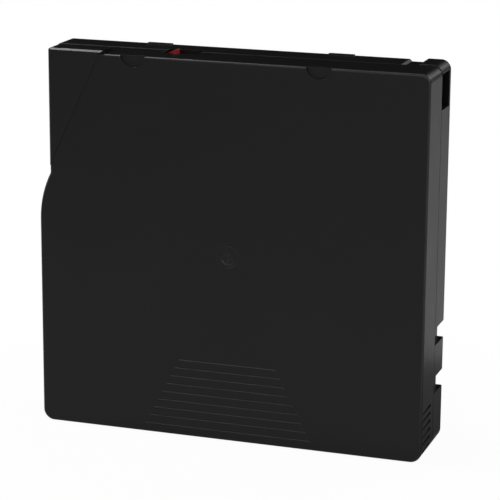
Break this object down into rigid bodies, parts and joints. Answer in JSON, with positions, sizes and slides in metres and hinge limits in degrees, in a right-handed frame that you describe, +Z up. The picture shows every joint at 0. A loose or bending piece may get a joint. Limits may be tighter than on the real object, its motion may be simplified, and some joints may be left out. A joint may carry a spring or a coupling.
{
  "type": "data tape cartridge",
  "caption": "Square single-reel data tape cartridge: two moulded halves with a locked reel of tape, a sliding door over the leader pin and a red write-protect switch.",
  "frame": {"origin": "centre of the end that the cartridge stands on", "axes": "+X along the 105.4 mm width, away from the tape door's side; +Y from the face with thumb grooves towards the face with the drive opening; +Z up, towards the end with the write-protect switch"},
  "size_m": [0.1054, 0.0216, 0.102],
  "materials": {
    "case_plastic": "fine moulded texture, near-black",
    "reel_plastic": "moulded grey",
    "plate_steel": "turned steel",
    "tape_film": "smooth dark film, wound edge satin",
    "brake_plastic": "natural white engineering plastic",
    "spring_steel": "drawn wire",
    "pin_steel": "ground steel",
    "switch_plastic": "red moulded plastic",
    "chip_card": "dark green laminate",
    "screw_steel": "dark plated steel"
  },
  "bodies": {
    "case": {"near_shell": "case_plastic", "far_shell": "case_plastic", "case_screws": "screw_steel", "memory_chip": "chip_card", "leader_pin": "pin_steel", "pin_clip": "brake_plastic", "near_pin_spring": "spring_steel", "far_pin_spring": "spring_steel", "tape_leader": "tape_film", "brake_spring": "spring_steel", "door_spring": "spring_steel"},
    "reel": {"reel_hub": "reel_plastic", "reel_flange": "reel_plastic", "drive_plate": "plate_steel", "tape_pack": "tape_film"},
    "release": {"release_pad": "brake_plastic"},
    "brake": {"brake_button": "brake_plastic"},
    "door_leaf": {"door": "case_plastic"},
    "switch": {"write_protect_switch": "switch_plastic"}
  },
  "joints": [
    {"name": "reel_spin", "type": "hinge", "parent": "case", "child": "reel", "pos_m": [0, 0, 0.05], "axis": [0, 1, 0], "continuous": true},
    {"name": "release_press", "type": "slide", "parent": "reel", "child": "release", "axis": [0, -1, 0], "range_m": [0, 0.0016], "stiffness_N_per_m": 400, "springref_m": -0.005},
    {"name": "brake_lift", "type": "slide", "parent": "case", "child": "brake", "axis": [0, -1, 0], "range_m": [0, 0.0016], "deforming": ["brake_spring"]},
    {"name": "door_slide", "type": "slide", "parent": "case", "child": "door_leaf", "axis": [0, 0, -1], "range_m": [0, 0.022], "stiffness_N_per_m": 10, "springref_m": -0.02, "deforming": ["door_spring"]},
    {"name": "switch_slide", "type": "slide", "parent": "case", "child": "switch", "axis": [1, 0, 0], "range_m": [0, 0.0036]}
  ],
  "couplings": [
    {"joint": "brake_lift", "follows": "release_press", "ratio": 1}
  ]
}
